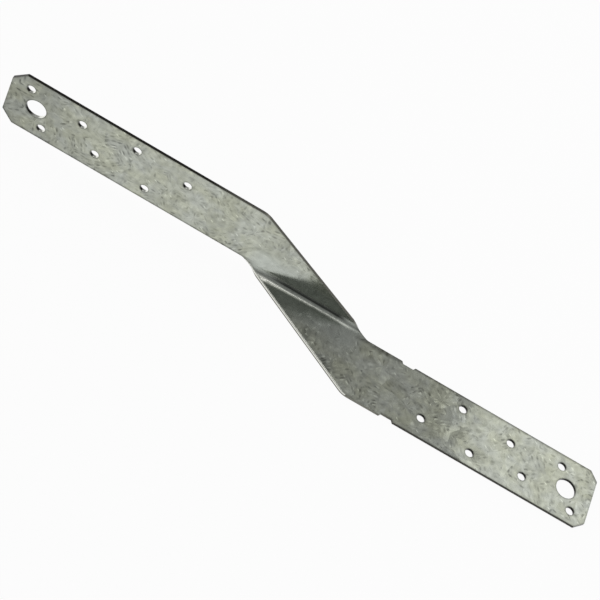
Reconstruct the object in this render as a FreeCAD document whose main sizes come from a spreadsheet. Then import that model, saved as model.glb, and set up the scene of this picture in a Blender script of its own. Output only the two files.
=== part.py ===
import FreeCAD, Part
import Sketcher
import os

# Twist strap: a flat steel strap with a dogleg at mid-length, folded square along its own length.
# X runs along the fold, from the upper leg's free end to the lower leg's free end.
# The lower leg lies on z = 0 and reaches towards -Y. The upper leg stands on y = 0 and rises along +Z.
# The origin is at mid-length, on the corner line where the planes of the two nailing faces meet.

NODE = "twist_strap"

# Driving sizes, in millimetres and degrees
SIZES = [
    ("strap_length", "304.8", "length along the fold, without the overrun"),
    ("upper_overrun", "1.1", "how much further out the upper leg's end is cut than the lower leg's"),
    ("strap_width", "31.75", "width of each leg"),
    ("sheet_thickness", "1.45", "thickness of the coated sheet"),
    ("dogleg_angle", "30", "angle between the dogleg and the legs, in the flat blank"),
    ("corner_radius", "9.525", "rounding where the legs turn into the dogleg"),
    ("bend_radius", "2.4", "radius inside the fold"),
    ("neutral_share", "0.42", "share of the thickness, from the inside, that keeps its length in the fold"),
    ("bend_clearance", "0.64", "flat strip between the fold and the near edge of a leg"),
    ("upper_chamfer", "5.75", "corner cut at the upper leg's free end"),
    ("lower_chamfer", "4.2", "corner cut at the lower leg's free end"),
    ("nail_hole", "4.0", "diameter of a nail hole"),
    ("first_nail", "7.9375", "free end to the first nail hole"),
    ("nail_stagger", "9.525", "along the leg, from a hole of the far row to the next hole of the near row"),
    ("nail_pitch", "25.4", "spacing along each row of nail holes"),
    ("nail_field", "88.9", "length of a leg, from its free end, that has nail holes"),
    ("wide_offset", "9.525", "centre line to the nail holes set wide"),
    ("narrow_offset", "6.35", "centre line to the nail holes set narrow"),
    ("pilot_hole", "9.525", "diameter of the large hole"),
    ("pilot_setback", "12.7", "free end to the large hole"),
    ("notch_setback", "21.55", "turn into the dogleg to the middle of the edge notches"),
    ("notch_mouth", "6.8", "length of a notch at the leg's edge"),
    ("notch_floor", "5.0", "length of a notch at its floor"),
    ("notch_depth", "1.3", "depth of a notch"),
]

# Places worked out from the driving sizes, along from a leg's free end and across from the corner line
LAYOUT = [
    ("half_length", "=sizes.strap_length / 2", "free end to mid-length"),
    ("fold_allowance", "=pi / 2 * (sizes.bend_radius + sizes.neutral_share * sizes.sheet_thickness)",
     "flat width of the strip that the fold takes up"),
    ("fold_lead", "=fold_allowance / tan(sizes.dogleg_angle)", "shift of the dogleg's edges across the fold"),
    ("flat_start", "=sizes.bend_radius + sizes.sheet_thickness", "across, to where the fold ends"),
    ("near_edge", "=flat_start + sizes.bend_clearance", "across, to the leg's edge beside the fold"),
    ("far_edge", "=near_edge + sizes.strap_width", "across, to the leg's other edge"),
    ("centre_line", "=near_edge + sizes.strap_width / 2", "across, to the leg's centre line"),
    ("dogleg_rise", "=sizes.strap_width + 2 * sizes.bend_clearance + fold_allowance",
     "shift between the two legs in the flat blank"),
    ("leg_length", "=half_length - dogleg_rise / (2 * tan(sizes.dogleg_angle))", "along, to the turn"),
    ("fold_from", "=leg_length + sizes.bend_clearance / tan(sizes.dogleg_angle)",
     "along, to where the near edge meets the fold"),
    ("fold_to", "=fold_from + sizes.strap_width / tan(sizes.dogleg_angle)",
     "along, to where the far edge meets the fold"),
    ("near_flank", "=sizes.bend_clearance / sin(sizes.dogleg_angle)", "near edge, from the turn to the fold"),
    ("near_radius", "=min(sizes.corner_radius; 0.95 * near_flank / tan(sizes.dogleg_angle / 2))",
     "rounding of the near turn, which ends before the fold"),
    ("notch_middle", "=leg_length - sizes.notch_setback", "along, to the middle of the edge notches"),
]

MATCH = 1e-4        # how close, in millimetres, a found edge comes to its place
ROUGH = 1.0         # a sketch's first guess at a size, before its bound value takes over
QUARTER_TURN = 0.25
HALF_TURN = FreeCAD.Placement(FreeCAD.Vector(), FreeCAD.Rotation(FreeCAD.Vector(0, 0, 1), 180))

doc = FreeCAD.newDocument("TwistStrap")


def fill_sheet(name, rows):
    """Make a spreadsheet with a name, an aliased value and a meaning in each row."""
    sheet = doc.addObject("Spreadsheet::Sheet", name)
    for row, (alias, content, meaning) in enumerate(rows, start=1):
        sheet.set(f"A{row}", alias)
        sheet.set(f"B{row}", content)
        sheet.set(f"C{row}", meaning)
        sheet.setAlias(f"B{row}", alias)
    doc.recompute()
    return sheet


sizes = fill_sheet("sizes", SIZES)
layout = fill_sheet("layout", LAYOUT)

strap = doc.addObject("PartDesign::Body", "strap")
strap.Label = NODE


def new_sketch(name, plane):
    """Attach a sketch to one of the body's own origin planes."""
    sketch = strap.newObject("Sketcher::SketchObject", name)
    support = next(item for item in strap.Origin.OriginFeatures if item.Role == plane)
    sketch.AttachmentSupport = (support, [""])
    sketch.MapMode = "FlatFace"
    return sketch


def leg_sketch(leg, purpose):
    """Make a sketch on a leg's nailing face: X from the free end to the dogleg, Y away from the fold."""
    if leg == "upper":
        sketch = new_sketch(f"{leg}_{purpose}", "XZ_Plane")
        sketch.setExpression("AttachmentOffset.Base.x", "-layout.half_length")
    else:
        sketch = new_sketch(f"{leg}_{purpose}", "XY_Plane")
        sketch.AttachmentOffset = HALF_TURN
        sketch.setExpression("AttachmentOffset.Base.x", "layout.half_length")
    return sketch


def pin(sketch, geometry, point, along, across):
    """Hold a sketch point at two distances from the sketch's origin. None stands for zero."""
    for kind, axis, distance in (("DistanceX", -2, along), ("DistanceY", -1, across)):
        if distance is None:
            sketch.addConstraint(Sketcher.Constraint("PointOnObject", geometry, point, axis))
        else:
            index = sketch.addConstraint(Sketcher.Constraint(kind, -1, 1, geometry, point, ROUGH))
            sketch.setExpression(f"Constraints[{index}]", distance)


def polygon(sketch, corners):
    """Draw a closed polygon, with each corner held at its own distances along and across."""
    first = sketch.GeometryCount
    count = len(corners)
    rough = [FreeCAD.Vector(step, step * step, 0) for step in range(count + 1)]
    for start, finish in zip(rough, rough[1:]):
        sketch.addGeometry(Part.LineSegment(start, finish))
    for step, (along, across) in enumerate(corners):
        before = first + (step - 1) % count
        sketch.addConstraint(Sketcher.Constraint("Coincident", before, 2, first + step, 1))
        pin(sketch, first + step, 1, along, across)


def circle(sketch, along, across, diameter):
    """Draw a circle, with its centre held at its distances along and across."""
    rough = Part.Circle(FreeCAD.Vector(ROUGH, ROUGH, 0), FreeCAD.Vector(0, 0, 1), ROUGH)
    index = sketch.addGeometry(rough)
    pin(sketch, index, 3, along, across)
    size = sketch.addConstraint(Sketcher.Constraint("Diameter", index, ROUGH))
    sketch.setExpression(f"Constraints[{size}]", diameter)


def edges_through(feature, sketch, corners):
    """Name the feature's edges that run through the sheet from the given sketch points."""
    places = [sketch.Placement.multVec(FreeCAD.Vector(along, across, 0)) for along, across in corners]
    names = []
    for number, edge in enumerate(feature.Shape.Edges, start=1):
        ends = [vertex.Point for vertex in edge.Vertexes]
        starts_there = any(end.isEqual(place, MATCH) for end in ends for place in places)
        if starts_there and abs(edge.Length - sizes.sheet_thickness) < MATCH:
            names.append(f"Edge{number}")
    return names


def dress(kind, name, base, edges, size_property, size):
    """Add a chamfer or a fillet on edges of the body's latest feature."""
    dressing = strap.newObject(f"PartDesign::{kind}", name)
    dressing.Base = (base, edges)
    dressing.setExpression(size_property, size)
    doc.recompute()
    return dressing


def add_leg(leg):
    """Pad one leg with its half of the dogleg, as far as the fold, then cut its ends and round its turns."""
    outline = leg_sketch(leg, "outline")
    overrun = "-sizes.upper_overrun" if leg == "upper" else None
    polygon(outline, [
        (overrun, "layout.near_edge"),
        (overrun, "layout.far_edge"),
        ("layout.leg_length", "layout.far_edge"),
        ("layout.fold_to", "layout.flat_start"),
        ("layout.fold_from", "layout.flat_start"),
        ("layout.leg_length", "layout.near_edge"),
    ])
    shape = strap.newObject("PartDesign::Pad", f"{leg}_leg")
    shape.Profile = outline
    shape.setExpression("Length", "sizes.sheet_thickness")
    doc.recompute()

    end = -sizes.upper_overrun if leg == "upper" else 0
    ends = edges_through(shape, outline, [(end, layout.near_edge), (end, layout.far_edge)])
    shape = dress("Chamfer", f"{leg}_end_cuts", shape, ends, "Size", f"sizes.{leg}_chamfer")
    far_turn = edges_through(shape, outline, [(layout.leg_length, layout.far_edge)])
    shape = dress("Fillet", f"{leg}_far_turn", shape, far_turn, "Radius", "sizes.corner_radius")
    near_turn = edges_through(shape, outline, [(layout.leg_length, layout.near_edge)])
    dress("Fillet", f"{leg}_near_turn", shape, near_turn, "Radius", "layout.near_radius")


def add_fold():
    """Turn the slanted section a quarter round the fold's axis, shifting along it to keep the slant."""
    section = new_sketch("fold_section", "XY_Plane")
    section.setExpression("AttachmentOffset.Base.x", "-layout.half_length")
    section.setExpression("AttachmentOffset.Base.y", "-layout.flat_start")
    section.setExpression("AttachmentOffset.Base.z", "layout.flat_start")
    polygon(section, [
        ("layout.fold_from", "sizes.bend_radius"),
        ("layout.fold_to", "sizes.bend_radius"),
        ("layout.fold_to", "layout.flat_start"),
        ("layout.fold_from", "layout.flat_start"),
    ])
    fold = strap.newObject("PartDesign::AdditiveHelix", "fold")
    fold.Profile = section
    fold.ReferenceAxis = (section, ["H_Axis"])
    fold.Mode = "height-turns-angle"
    fold.Turns = QUARTER_TURN
    fold.LeftHanded = True
    fold.setExpression("Height", "layout.fold_lead")
    doc.recompute()


def punch(sketch, name):
    """Cut a sketch on a nailing face through the sheet, and make sure that it took metal away."""
    volume_before = strap.Shape.Volume
    cut = strap.newObject("PartDesign::Pocket", name)
    cut.Profile = sketch
    cut.Type = "ThroughAll"
    cut.Reversed = True
    doc.recompute()
    if strap.Shape.Volume >= volume_before:
        raise RuntimeError(f"{name} cut nothing")


def add_nail_holes(leg):
    """Punch two staggered rows of nail holes, set wide and narrow in turn, over the leg's nail field."""
    sketch = leg_sketch(leg, "nails")
    last = min(sizes.nail_field, layout.leg_length - sizes.nail_hole)
    for row, first in (("+", "sizes.first_nail"), ("-", "sizes.first_nail + sizes.nail_stagger")):
        start = sizes.first_nail if row == "+" else sizes.first_nail + sizes.nail_stagger
        for step in range(int((last - start) // sizes.nail_pitch) + 1):
            offset = "sizes.narrow_offset" if step % 2 else "sizes.wide_offset"
            circle(sketch, f"{first} + {step} * sizes.nail_pitch",
                   f"layout.centre_line {row} {offset}", "sizes.nail_hole")
    punch(sketch, f"{leg}_nail_holes")


def add_pilot_hole(leg):
    """Punch the large hole on the leg's centre line."""
    sketch = leg_sketch(leg, "pilot")
    circle(sketch, "sizes.pilot_setback", "layout.centre_line", "sizes.pilot_hole")
    punch(sketch, f"{leg}_pilot_hole")


def add_notches(leg):
    """Cut a shallow trapezoid notch into both edges of a leg."""
    sketch = leg_sketch(leg, "notches")
    for edge, inwards in (("layout.near_edge", "+"), ("layout.far_edge", "-")):
        floor = f"{edge} {inwards} sizes.notch_depth"
        polygon(sketch, [
            ("layout.notch_middle - sizes.notch_mouth / 2", edge),
            ("layout.notch_middle - sizes.notch_floor / 2", floor),
            ("layout.notch_middle + sizes.notch_floor / 2", floor),
            ("layout.notch_middle + sizes.notch_mouth / 2", edge),
        ])
    punch(sketch, f"{leg}_edge_notches")


add_leg("upper")
add_fold()
add_leg("lower")
for side in ("upper", "lower"):
    add_nail_holes(side)
    add_pilot_hole(side)
add_notches("lower")

for item in doc.Objects:
    if "Invalid" in item.State or "Error" in item.State:
        raise RuntimeError(f"{item.Name} failed: {item.State}")
if strap.Shape.isNull() or not strap.Shape.isValid() or len(strap.Shape.Solids) != 1:
    raise RuntimeError(f"{NODE} is not one valid solid")

os.makedirs("parts", exist_ok=True)
strap.Shape.exportStep(f"parts/{strap.Label}.step")
box = strap.Shape.BoundBox
print(f"{NODE}: {box.XLength:.2f} x {box.YLength:.2f} x {box.ZLength:.2f} mm, {strap.Shape.Volume:.1f} mm3")
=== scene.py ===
import math
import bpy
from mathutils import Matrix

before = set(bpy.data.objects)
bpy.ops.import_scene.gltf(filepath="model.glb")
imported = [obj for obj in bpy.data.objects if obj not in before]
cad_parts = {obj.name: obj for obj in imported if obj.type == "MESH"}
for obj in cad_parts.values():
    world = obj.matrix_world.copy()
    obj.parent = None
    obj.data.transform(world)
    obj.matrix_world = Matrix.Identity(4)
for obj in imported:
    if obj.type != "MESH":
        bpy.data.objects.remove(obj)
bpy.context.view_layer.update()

from types import SimpleNamespace

import bpy
from mathutils import Matrix, Vector

MM = 0.001

# The strap's shape, in millimetres
SHEET = 1.45
STRAP_WIDTH = 31.75
BEND_RADIUS = 2.4
BEND_CLEARANCE = 0.64
FLAT_START = BEND_RADIUS + SHEET
MID_RADIUS = BEND_RADIUS + SHEET / 2
BEND_MIDDLE = MID_RADIUS * math.pi / 4          # along the sheet, from the bend's lower tangent
NEAR_EDGE = BEND_MIDDLE + BEND_CLEARANCE        # from the bend's middle to the legs' edges beside it
LEG_MIDDLE = NEAR_EDGE + STRAP_WIDTH / 2        # and to their middle lines
DOGLEG_REACH = 34.0                             # from mid-length to the dogleg's ends
CHAMFER_REACH = 148.0                           # and to the ends' chamfers
CHAMFER_ANGLE = 45.0                            # in degrees

# Sheared edges, with lengths in millimetres
RIM = 0.08                                      # their rounding
RIM_ANGLE = 40.0                                # degrees between faces that make an edge
RIM_SEGMENTS = 2
WELD = 0.001
ROUNDING_WIDTH = 1.3                                # of the rounded normal, and of the painted shade beside them
ROUNDING_SAMPLES = 8
# painted shade beside the edges, and more of it round the holes
RIM_SHADE_SPAN = (0.95, 0.999)
RIM_SHADE_TONES = (0.75, 1.0)
FACE_SPAN = (0.8, 0.95)                         # how squarely an edge at most, a face at least, faces out
RUBBED_FADE = (46.0, 62.0)                      # the edges are lighter near the dogleg
POLISH_DEPTH = (0.3, 0.6)                       # share of the sheet's thickness, on one flank
POLISH_LEAN = 0.12
HOLE_BAND = 13.0                                # from the legs' middle lines to past their holes
HOLE_RUN = (60.0, 148.0)                        # the legs' stretch that has holes, from mid-length
HOLE_TURN = (-0.2, 0.4)                         # the upper leg's holes get a painted highlight where they face its end

# Inside the fold, in millimetres along the strap or along the sheet's section: zinc smoothed by the press,
# painted shade and a painted highlight
PRESSED_ACROSS = (8.0, 20.0)                    # from the bend's middle
PRESSED_ALONG = (24.0, 36.0)                    # from mid-length
PAINTED_FOLD_TONES = (0.8, 1.12)                     # painted shade on the lower leg and painted light on the upper leg, beside the fold
PRESSED_TILT = 0.25                             # share of the crystals' tilt that is left
PRESSED_MARKS = 0.5                             # and of their marks
BEND_FADE = (2.4, 3.2)
# painted shade along the crease above the bend
CREASE_LOW = (2.0, 3.0)                         # from the bend's lower tangent
CREASE_HIGH = (3.6, 6.1)
CREASE_START = (-28.0, -10.0)
CREASE_END = (16.0, 24.0)
CREASE_SHADE_TONE = 0.09
CREST_RUN = (-24.0, 14.0)                       # the painted highlight drifts along the fold
CREST_LINE = (-0.2, 0.5)                        # between these places, from the bend's lower tangent
CREST_LEFT = (-24.0, -8.0)
CREST_WIDTHS = (2.2, 1.27)
CREST_GAINS = (1.9, 1.0)
CREST_EDGE = (0.1, 1.0)
CREST_RIGHT = (-10.0, 16.0)
CREST_LOSSES = (1.0, 0.35)
CREST_END = (20.0, 27.0)
CREST_PATCH = 5.0
CREST_DETAIL = 3.0
# patchy strength of the painted highlight
CREST_PATCH_SPAN = (0.3, 0.55)
CREST_PATCH_ENDS = (0.45, 1.0)
RIDGE = (0.0, -0.2, 0.0)                        # lean of the surface along the painted highlight
BOW = (0.11, 0.0)                               # slope of the upper leg's face above the fold
BOW_RISE = (8.0, 24.0)                          # at these heights
BOW_ALONG = (26.0, 34.0)

# Darker zinc on the legs, in millimetres
INNER_RIM_FADE = (0.5, 1.4)                         # from the edge
INNER_RIM_START = (24.0, 32.0)
INNER_RIM_NARROWS = (40.0, 62.0)                    # along the lower leg
INNER_RIM_SPREADS = (2.2, 1.0)
INNER_RIM_TONE = 0.6
END_SHADE_RUN = (-156.0, -96.0)                       # painted shade: the upper leg darkens towards its end
END_SHADE_TONES = (0.7, 1.0)

# Zinc crystals, with lengths in millimetres
GRAIN = 11.0
WARP_SIZE = 8.0
WARP = 5.0
BARB = (3.4, 1.4)                               # length and width of a crystal's fine strokes
BARB_SLANT = 50.0                               # degrees from the crystal's spine
BARB_EDGE = (0.1, 0.55)
BARB_BALANCE = 0.6                              # share of the strokes that is dark
STAR_ARC = 4.0                                  # radius at which a star's strokes have the plain width
STAR_CHANCE = 0.65
CLEAR_SPAN = (0.2, 0.8)                         # crystals differ in how clear their strokes are
CLEAR_ENDS = (0.42, 0.8)
CLEAR_RUN = (70.0, 110.0)                       # and are clearer on the lower leg's inner half
CLEAR_GAINS = (1.1, 1.0)
ROUGH_SPAN = (0.4, 0.7)
SHARD = (9.0, 3.4)                              # length and width of a crystal's broad facets
SHARD_TONE = 0.18
SHARD_TILT = 0.028
CRYSTAL_TONE = 0.1
MOTTLE = 3.0
MOTTLE_TONE = 0.75
FLECK = 1.5
FLECK_DETAIL = 1.0
FLECK_SPAN = (0.62, 0.75)
FLECK_TONE = -0.25
NICK = (9.0, 3.0)                               # length and width of the room round each bright nick
NICK_TURN = 34.0                                # degrees from the strap's length
NICK_EDGE = (0.05, 0.12)
NICK_CHANCE = 0.8
NICK_TONE = 0.5
SHUFFLE = 50.0                                  # sets the strokes of neighbouring crystals apart
FACE_SHIFT = (131.0, 7.0, 0.0)                  # picks the part of the pattern that the strap's faces show
BACK_SHIFT = (600.0, 300.0, 0.0)                # moves the pattern on the outer side, so that it differs
WARM_SHIFT = (223.0, 21.0, 0.0)                 # picks where the warm patches lie
WARM_PATCH = 12.0
WARM_SPAN = (0.35, 0.65)
WARM_ENDS = (0.0, 0.7)
WARM_SHARDS = 0.3
NOISE_DETAIL = 2.0
HALF = 0.5                                      # the mean of a random shade
MIDDLE = (HALF, HALF, HALF)

# Colours and roughness
COOL_ZINC = (0.405, 0.425, 0.385, 1)
WARM_ZINC = (0.405, 0.42, 0.335, 1)
PRESSED_ZINC = (0.396, 0.42, 0.383, 1)
SHEARED = (0.045, 0.045, 0.038, 1)
RUBBED = (0.17, 0.17, 0.145, 1)
# painted shade in the holes' walls
HOLE_SHADE = (0.014, 0.014, 0.012, 1)
# painted highlight on the crest and the upper leg's hole walls, and on the polished flank
PAINTED_HIGHLIGHT = (0.85, 0.86, 0.79, 1)
ZINC_ROUGH = 0.09
SHARD_ROUGH = 0.04
BLADE_ROUGH = 0.15
PRESSED_ROUGH = (0.12, 0.05)                    # on the lower and the upper leg
BEND_ROUGH = 0.4
CREST_ROUGH = 0.25
EDGE_ROUGH = 0.22

# The camera, with angles in degrees and lengths in millimetres
LENS = 95.895
SENSOR = 36.0
AIM = (-1.295, -1.55, -1.366)
DISTANCE = 701.58
AZIMUTH = -6.148
ELEVATION = 50.895
ROLL = 34.910

# The studio, with lengths in metres
FLOOR_DROP = 0.0002                             # gap that keeps the floor off the strap's lower face
FLOOR_SIZE = 6.0
FLOOR_MATT = (0.9, 0.9, 0.9, 1)
WHITE = (1, 1, 1, 1)
FLOOR_GLOW = 0.95                               # share of the floor's seen colour that is plain white
HORIZON_SPAN = (0.1, 0.45)
HORIZON = 1.0
ROOM_SPAN = (-0.6, 0.6)                         # the room is dimmer behind the strap than in front of it
ROOM = (0.41, 0.3)
LAMPS = {                                       # place, size and brightness
    "overhead": ((0.15, 0.27, 1.0), (0.9, 0.66), 0.8),
    "side": ((0.464, 0.38, 0.5), (0.5, 0.46), 0.66),
    "fill": ((0.565, 0.85, 1.0), (0.83, 0.5), 0.21),
}

# The kinds of value that a mix takes, in the order of its sockets
MIX_KINDS = ("FLOAT", "VECTOR", "RGBA")


class NodeNet:
    """Short ways to add nodes to a tree. A value is a number, a vector, a colour or a node's output."""

    def __init__(self, tree):
        self.tree = tree

    def link(self, value, socket):
        self.tree.links.new(value, socket)

    def node(self, kind, inputs=(), **settings):
        made = self.tree.nodes.new(kind)
        for setting, value in settings.items():
            setattr(made, setting, value)
        for key, value in dict(inputs).items():
            if isinstance(value, bpy.types.NodeSocket):
                self.link(value, made.inputs[key])
            else:
                made.inputs[key].default_value = value
        return made

    def math(self, operation, *values):
        return self.node("ShaderNodeMath", enumerate(values), operation=operation).outputs[0]

    def product(self, first, *others):
        for other in others:
            first = self.math("MULTIPLY", first, other)
        return first

    def vector(self, operation, *values):
        made = self.node("ShaderNodeVectorMath", enumerate(values), operation=operation)
        return made.outputs["Value" if operation in ("DOT_PRODUCT", "LENGTH") else "Vector"]

    def scaled(self, vector, factor):
        made = self.node("ShaderNodeVectorMath", {"Vector": vector, "Scale": factor}, operation="SCALE")
        return made.outputs["Vector"]

    def split(self, vector):
        return self.node("ShaderNodeSeparateXYZ", {"Vector": vector}).outputs

    def join(self, x, y, z):
        return self.node("ShaderNodeCombineXYZ", {"X": x, "Y": y, "Z": z}).outputs["Vector"]

    def turned(self, vector, angle):
        inputs = {"Vector": vector, "Angle": angle}
        return self.node("ShaderNodeVectorRotate", inputs, rotation_type="Z_AXIS").outputs["Vector"]

    def mixed(self, kind, share, first, second):
        """Mix two values. After two sockets for the share, each kind has a pair of inputs and one output."""
        order = MIX_KINDS.index(kind)
        pair = 2 + 2 * order
        made = self.node("ShaderNodeMix", {0: share, pair: first, pair + 1: second}, data_type=kind)
        return made.outputs[order]

    def mix(self, share, first, second):
        return self.mixed("FLOAT", share, first, second)

    def blend(self, share, first, second):
        return self.mixed("VECTOR", share, first, second)

    def tint(self, share, first, second):
        return self.mixed("RGBA", share, first, second)

    def ease(self, value, span, ends):
        (start, stop), (first, last) = span, ends
        inputs = {"Value": value, "From Min": start, "From Max": stop, "To Min": first, "To Max": last}
        return self.node("ShaderNodeMapRange", inputs, interpolation_type="SMOOTHSTEP").outputs["Result"]

    def rise(self, value, span):
        return self.ease(value, span, (0.0, 1.0))

    def fade(self, value, span):
        return self.ease(value, span, (1.0, 0.0))

    def voronoi(self, place, size):
        inputs = {"Vector": place, "Scale": 1 / size}
        return self.node("ShaderNodeTexVoronoi", inputs, voronoi_dimensions="2D").outputs

    def noise(self, place, size, detail=NOISE_DETAIL):
        inputs = {"Vector": place, "Scale": 1 / size, "Detail": detail}
        return self.node("ShaderNodeTexNoise", inputs).outputs


def sheet_place(net):
    """Find a point's place on the unfolded sheet, how squarely it faces out and how deep it lies."""
    geometry = net.node("ShaderNodeNewGeometry").outputs
    point = net.scaled(net.node("ShaderNodeTexCoord").outputs["Object"], 1 / MM)
    x, y, z = net.split(point)
    past_y = net.math("ADD", y, FLAT_START)
    past_z = net.math("SUBTRACT", z, FLAT_START)
    out_y = net.math("MAXIMUM", past_y, 0)
    out_z = net.math("MINIMUM", past_z, 0)
    outwards = net.join(0, out_y, out_z)
    facing = net.vector("DOT_PRODUCT", geometry["True Normal"], net.vector("NORMALIZE", outwards))
    depth = net.math("DIVIDE", net.math("SUBTRACT", net.vector("LENGTH", outwards), BEND_RADIUS), SHEET)
    turn = net.math("ARCTAN2", out_y, net.math("MULTIPLY", out_z, -1))
    flat = net.math("ADD", net.math("MAXIMUM", past_z, 0), net.math("MINIMUM", past_y, 0))
    across = net.math("MULTIPLY_ADD", turn, MID_RADIUS, flat)
    outer = net.math("GREATER_THAN", facing, 0)
    unfolded = net.vector("ADD", net.join(x, across, 0), FACE_SHIFT)
    bevel = net.node("ShaderNodeBevel", {"Radius": ROUNDING_WIDTH * MM}, samples=ROUNDING_SAMPLES)
    return SimpleNamespace(
        x=x, z=z, across=across, depth=depth, facing=facing,
        normal=geometry["Normal"],
        rounded=bevel.outputs["Normal"],
        reach=net.math("ABSOLUTE", x),
        from_bend=net.math("ABSOLUTE", net.math("SUBTRACT", across, BEND_MIDDLE)),
        upper=net.math("GREATER_THAN", across, BEND_MIDDLE),
        inside=net.math("LESS_THAN", facing, 0),
        plate=net.rise(net.math("ABSOLUTE", facing), FACE_SPAN),
        pattern=net.vector("ADD", unfolded, net.scaled(BACK_SHIFT, outer)),
    )


def pressed_zinc(net, place):
    """Find the smooth zinc round the inside of the fold, which also takes painted shade and painted light.
    """
    across = net.fade(place.from_bend, PRESSED_ACROSS)
    along = net.fade(place.reach, PRESSED_ALONG)
    return net.product(place.inside, across, along)


def crease_shade(net, place):
    """Find the painted shade line along the upper side of the bend, inside the fold."""
    line = net.product(net.rise(place.across, CREASE_LOW), net.fade(place.across, CREASE_HIGH))
    return net.product(place.inside, line, net.rise(place.x, CREASE_START), net.fade(place.x, CREASE_END))


def crest_highlight(net, place):
    """Find the painted highlight along the lower side of the bend, which widens towards its left end."""
    off_line = net.math("SUBTRACT", place.across, net.ease(place.x, CREST_RUN, CREST_LINE))
    width = net.ease(place.x, CREST_LEFT, CREST_WIDTHS)
    line = net.fade(net.math("DIVIDE", net.math("ABSOLUTE", off_line), width), CREST_EDGE)
    patchiness = net.ease(net.noise(place.pattern, CREST_PATCH, CREST_DETAIL)["Fac"], CREST_PATCH_SPAN, CREST_PATCH_ENDS)
    gain = net.ease(place.x, CREST_LEFT, CREST_GAINS)
    loss = net.ease(place.x, CREST_RIGHT, CREST_LOSSES)
    return net.product(place.inside, line, patchiness, gain, loss, net.fade(place.x, CREST_END))


def darker_inner_rim(net, place):
    """Find the darker band along the legs' inner edges and the chamfers beside them."""
    from_edge = net.math("SUBTRACT", place.from_bend, NEAR_EDGE)
    past_edge = net.math("ADD", from_edge, net.math("SUBTRACT", CHAMFER_REACH, place.reach))
    from_chamfer = net.math("MULTIPLY", past_edge, math.cos(math.radians(CHAMFER_ANGLE)))
    spread = net.mix(place.upper, net.ease(place.reach, INNER_RIM_NARROWS, INNER_RIM_SPREADS), 1.0)
    rim = net.math("DIVIDE", net.math("MINIMUM", from_edge, from_chamfer), spread)
    return net.product(place.inside, net.fade(rim, INNER_RIM_FADE), net.rise(place.reach, INNER_RIM_START))


def polished_flank(net, place):
    """Find the burnished half of the lower leg's left flank at the dogleg and its rim, for a painted
    highlight.
    """
    left = net.math("LESS_THAN", net.split(place.rounded)[0], -POLISH_LEAN)
    low = net.math("LESS_THAN", place.z, FLAT_START)
    dogleg = net.math("LESS_THAN", place.reach, DOGLEG_REACH)
    return net.product(left, low, dogleg, net.fade(place.depth, POLISH_DEPTH))


def hole_field(net, place):
    """Find where every cut edge is a hole's wall, and the upper leg's walls that get a painted highlight."""
    off_middle = net.math("ABSOLUTE", net.math("SUBTRACT", place.from_bend, LEG_MIDDLE))
    start, end = HOLE_RUN
    holes = net.product(
        net.math("LESS_THAN", off_middle, HOLE_BAND),
        net.math("GREATER_THAN", place.reach, start),
        net.math("LESS_THAN", place.reach, end),
    )
    highlit_walls = net.product(holes, place.upper, net.fade(net.split(place.normal)[0], HOLE_TURN))
    return holes, highlit_walls


def shaded_rim(net, place):
    """Darken the zinc beside an edge, where a rounded normal leaves the plain one: painted shade."""
    return net.ease(net.vector("DOT_PRODUCT", place.normal, place.rounded), RIM_SHADE_SPAN, RIM_SHADE_TONES)


def bow(net, place):
    """Lean the upper leg's normal a little above the fold, where the sheet is not quite flat."""
    lean = net.product(net.ease(place.z, BOW_RISE, BOW), net.fade(place.reach, BOW_ALONG))
    return net.join(0, 0, net.product(lean, place.facing, -1))


def crystal_grain(net, pattern):
    """Grow ragged zinc crystals. Returns a place along and across each one's strokes, and its colour."""
    drift = net.vector("SUBTRACT", net.noise(pattern, WARP_SIZE)["Color"], MIDDLE)
    crystal = net.voronoi(net.vector("ADD", pattern, net.scaled(drift, WARP)), GRAIN)
    chance = net.split(crystal["Color"])
    arm = net.vector("SUBTRACT", pattern, crystal["Position"])
    spine = net.split(net.turned(arm, net.math("MULTIPLY", chance[0], math.tau)))
    mirrored = net.join(spine[0], net.math("ABSOLUTE", spine[1]), 0)
    feather = net.split(net.turned(mirrored, math.radians(BARB_SLANT)))
    round_star = net.math("MULTIPLY", net.math("ARCTAN2", spine[1], spine[0]), STAR_ARC)
    star = net.math("GREATER_THAN", chance[1], STAR_CHANCE)
    along = net.mix(star, feather[0], net.vector("LENGTH", arm))
    across = net.mix(star, feather[1], round_star)
    return net.join(along, across, 0), crystal["Color"]


def grain_cells(net, grain, colour, size):
    """Cut the crystals into cells of a given length and width that lie along their strokes."""
    cells = net.vector("DIVIDE", grain, (*size, 1))
    return net.voronoi(net.vector("ADD", cells, net.scaled(colour, SHUFFLE)), 1.0)


def bright_nicks(net, pattern):
    """Scatter small bright nicks."""
    turned = net.turned(pattern, math.radians(NICK_TURN))
    nick = net.voronoi(net.vector("DIVIDE", turned, (*NICK, 1)), 1.0)
    chosen = net.math("GREATER_THAN", net.split(nick["Color"])[0], NICK_CHANCE)
    return net.product(net.fade(nick["Distance"], NICK_EDGE), chosen)


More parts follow.
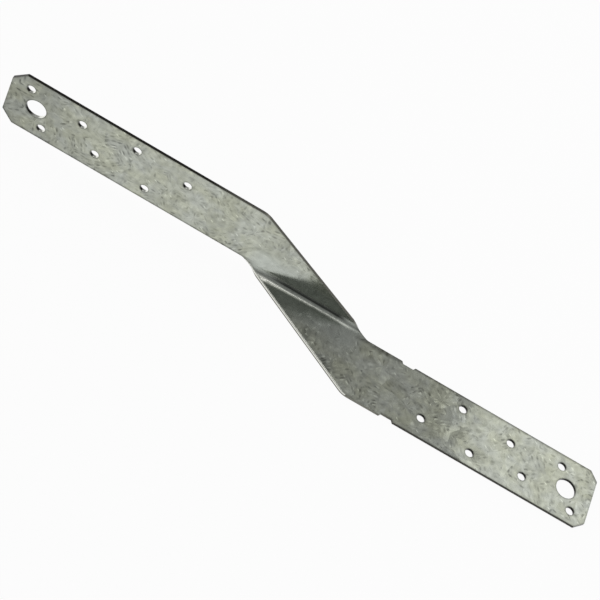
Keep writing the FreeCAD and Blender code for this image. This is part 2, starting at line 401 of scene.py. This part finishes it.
def spangle(net, pattern):
    """Mark the zinc. Returns its tone (dark below 0), its rough blades and its shards' random colours."""
    grain, colour = crystal_grain(net, pattern)
    chance = net.split(colour)
    blade = grain_cells(net, grain, colour, BARB)
    shades = net.split(blade["Color"])
    clear = net.ease(chance[2], CLEAR_SPAN, CLEAR_ENDS)
    strokes = net.product(net.fade(blade["Distance"], BARB_EDGE), clear)
    blades = net.product(strokes, net.rise(shades[1], ROUGH_SPAN))
    tone = net.product(strokes, net.math("SUBTRACT", shades[0], BARB_BALANCE))
    flecks = net.rise(net.noise(pattern, FLECK, FLECK_DETAIL)["Fac"], FLECK_SPAN)
    for spots, amount in ((flecks, FLECK_TONE), (bright_nicks(net, pattern), NICK_TONE)):
        tone = net.math("MULTIPLY_ADD", spots, amount, tone)
    shards = grain_cells(net, grain, colour, SHARD)["Color"]
    shard = net.split(shards)[2]
    mottle = net.noise(pattern, MOTTLE)["Fac"]
    for shade, amount in ((shard, SHARD_TONE), (chance[1], CRYSTAL_TONE), (mottle, MOTTLE_TONE)):
        tone = net.math("MULTIPLY_ADD", net.math("SUBTRACT", shade, HALF), amount, tone)
    return tone, blades, shards


def surface_marks(net, place):
    """Find the marks that change more than one of the surface's colour, roughness and normal."""
    tone, blades, shards = spangle(net, place.pattern)
    holes, highlit_walls = hole_field(net, place)
    pressed = pressed_zinc(net, place)
    return SimpleNamespace(
        tone=tone, blades=blades, shards=shards, holes=holes, highlit_walls=highlit_walls, pressed=pressed,
        shard=net.split(shards),
        faint=net.mix(pressed, 1.0, PRESSED_MARKS),
        crest=crest_highlight(net, place),
        polished=polished_flank(net, place),
    )


def zinc_colour(net, place, marks):
    """Colour the faces: cool and warm zinc, toned by its crystals and the press, with painted shade and
    highlight.
    """
    patches = net.noise(net.vector("ADD", place.pattern, WARM_SHIFT), WARM_PATCH)["Fac"]
    wide = net.ease(patches, WARM_SPAN, WARM_ENDS)
    warmth = net.math("MULTIPLY_ADD", marks.shard[1], WARM_SHARDS, wide)
    zinc = net.tint(marks.pressed, net.tint(warmth, COOL_ZINC, WARM_ZINC), PRESSED_ZINC)
    gain = net.mix(place.upper, net.ease(place.x, CLEAR_RUN, CLEAR_GAINS), 1.0)
    rim_shade = shaded_rim(net, place)
    tone = net.product(
        net.math("MULTIPLY_ADD", marks.tone, net.product(marks.faint, gain), 1.0),
        net.mix(crease_shade(net, place), 1.0, CREASE_SHADE_TONE),
        net.mix(darker_inner_rim(net, place), 1.0, INNER_RIM_TONE),
        net.mix(marks.pressed, 1.0, net.mix(place.upper, *PAINTED_FOLD_TONES)),
        # painted shade towards the upper leg's end
        net.ease(place.x, END_SHADE_RUN, END_SHADE_TONES),
        # painted shade beside every edge, and more of it round the holes
        rim_shade,
        net.mix(marks.holes, 1.0, rim_shade),
    )
    # a painted highlight along the crest
    return net.tint(marks.crest, net.scaled(zinc, tone), PAINTED_HIGHLIGHT)


def edge_colour(net, place, marks):
    """Colour cut edges: bare steel, lighter near the dogleg, with painted shade or highlight on holes'
    walls.
    """
    edge = net.tint(net.fade(place.reach, RUBBED_FADE), SHEARED, RUBBED)
    return net.tint(marks.highlit_walls, net.tint(marks.holes, edge, HOLE_SHADE), PAINTED_HIGHLIGHT)


def surface_colour(net, place, marks):
    """Put the faces, the cut edges and the polished flank, painted bright as a highlight, together."""
    plain = net.tint(place.plate, edge_colour(net, place, marks), zinc_colour(net, place, marks))
    return net.tint(marks.polished, plain, PAINTED_HIGHLIGHT)


def surface_roughness(net, place, marks):
    """Roughen the zinc by its crystals and the press, and the cut edges evenly."""
    rough = net.math("MULTIPLY_ADD", marks.shard[0], SHARD_ROUGH, ZINC_ROUGH)
    rough = net.math("MULTIPLY_ADD", net.product(marks.blades, marks.faint), BLADE_ROUGH, rough)
    rough = net.math("MULTIPLY_ADD", marks.pressed, net.mix(place.upper, *PRESSED_ROUGH), rough)
    bend = net.product(place.inside, net.fade(place.from_bend, BEND_FADE))
    rough = net.mix(marks.crest, net.mix(bend, rough, BEND_ROUGH), CREST_ROUGH)
    return net.mix(place.plate, EDGE_ROUGH, rough)


def surface_normal(net, place, marks):
    """Tilt the crystals, the bright line and the upper leg above the fold, and round the polished flank."""
    lean = net.product(place.plate, net.mix(marks.pressed, 1.0, PRESSED_TILT), SHARD_TILT)
    tilt = net.scaled(net.vector("SUBTRACT", marks.shards, MIDDLE), lean)
    normal = place.normal
    for push in (tilt, net.scaled(RIDGE, marks.crest), bow(net, place)):
        normal = net.vector("ADD", normal, push)
    return net.vector("NORMALIZE", net.blend(marks.polished, normal, place.rounded))


def galvanised_steel():
    """Make the strap's one material: spangled zinc on the faces, bare sheared steel on the cut edges."""
    material = bpy.data.materials.new("galvanised_steel")
    material.use_nodes = True
    net = NodeNet(material.node_tree)
    shader = material.node_tree.nodes["Principled BSDF"]
    place = sheet_place(net)
    marks = surface_marks(net, place)
    shader.inputs["Metallic"].default_value = 1.0
    net.link(surface_colour(net, place, marks), shader.inputs["Base Color"])
    net.link(surface_roughness(net, place, marks), shader.inputs["Roughness"])
    net.link(surface_normal(net, place, marks), shader.inputs["Normal"])
    return material


def finish_strap(strap):
    """Round the strap's sheared edges slightly, keep its faces' normals level and give it its material."""
    weld = strap.modifiers.new("weld", "WELD")
    weld.merge_threshold = WELD * MM
    rim = strap.modifiers.new("rim", "BEVEL")
    rim.width = RIM * MM
    rim.segments = RIM_SEGMENTS
    rim.limit_method = "ANGLE"
    rim.angle_limit = math.radians(RIM_ANGLE)
    level = strap.modifiers.new("level", "WEIGHTED_NORMAL")
    level.mode = "FACE_AREA"
    strap.material_slots[0].material = galvanised_steel()


def floor_white():
    """Make a material that shows white and still takes the strap's shadow."""
    material = bpy.data.materials.new("pale_floor")
    material.use_nodes = True
    material.node_tree.nodes.clear()
    net = NodeNet(material.node_tree)
    ray = net.node("ShaderNodeLightPath").outputs
    seen = net.math("MAXIMUM", ray["Is Camera Ray"], ray["Is Glossy Ray"])
    seen = net.math("MAXIMUM", seen, ray["Is Transmission Ray"])
    matt = net.node("ShaderNodeBsdfDiffuse", {"Color": FLOOR_MATT}).outputs["BSDF"]
    white = net.node("ShaderNodeEmission", {"Color": WHITE}).outputs["Emission"]
    share = net.math("MULTIPLY", seen, FLOOR_GLOW)
    both = net.node("ShaderNodeMixShader", {0: share, 1: matt, 2: white}).outputs["Shader"]
    net.node("ShaderNodeOutputMaterial", {"Surface": both})
    return material


def pale_floor():
    """Lay a level floor just under the strap."""
    bpy.ops.mesh.primitive_plane_add(size=FLOOR_SIZE, location=(0, 0, -FLOOR_DROP))
    floor = bpy.context.object
    floor.name = "floor"
    floor.data.materials.append(floor_white())


def studio_world():
    """Surround the strap with a dim room that brightens towards the horizon."""
    world = bpy.data.worlds.new("studio")
    world.use_nodes = True
    bpy.context.scene.world = world
    net = NodeNet(world.node_tree)
    background = world.node_tree.nodes["Background"]
    direction = net.split(net.node("ShaderNodeTexCoord").outputs["Generated"])
    room = net.ease(direction[1], ROOM_SPAN, ROOM)
    strength = net.ease(direction[2], HORIZON_SPAN, (HORIZON, room))
    background.inputs["Color"].default_value = WHITE
    net.link(strength, background.inputs["Strength"])


def softbox(name, place, size, radiance):
    """Hang a level rectangular lamp that shines straight down."""
    lamp = bpy.data.lights.new(name, "AREA")
    lamp.shape = "RECTANGLE"
    lamp.size, lamp.size_y = size
    lamp.energy = radiance * math.pi * lamp.size * lamp.size_y
    holder = bpy.data.objects.new(name, lamp)
    holder.location = place
    bpy.context.scene.collection.objects.link(holder)


def rotation(degrees, axis):
    return Matrix.Rotation(math.radians(degrees), 4, axis)


def camera():
    """Place the camera by its angles round the aim."""
    lens = bpy.data.cameras.new("camera")
    lens.lens = LENS
    lens.sensor_width = SENSOR
    holder = bpy.data.objects.new("camera", lens)
    bpy.context.scene.collection.objects.link(holder)
    turn = rotation(AZIMUTH, "Z") @ rotation(90 - ELEVATION, "X") @ rotation(ROLL, "Z")
    back = turn @ Vector((0, 0, 1))
    holder.matrix_world = Matrix.Translation((Vector(AIM) + back * DISTANCE) * MM) @ turn
    bpy.context.scene.camera = holder


finish_strap(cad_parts["twist_strap"])
pale_floor()
studio_world()
for name, (place, size, radiance) in LAMPS.items():
    softbox(name, place, size, radiance)
camera()
bpy.context.scene.view_settings.view_transform = "Standard"
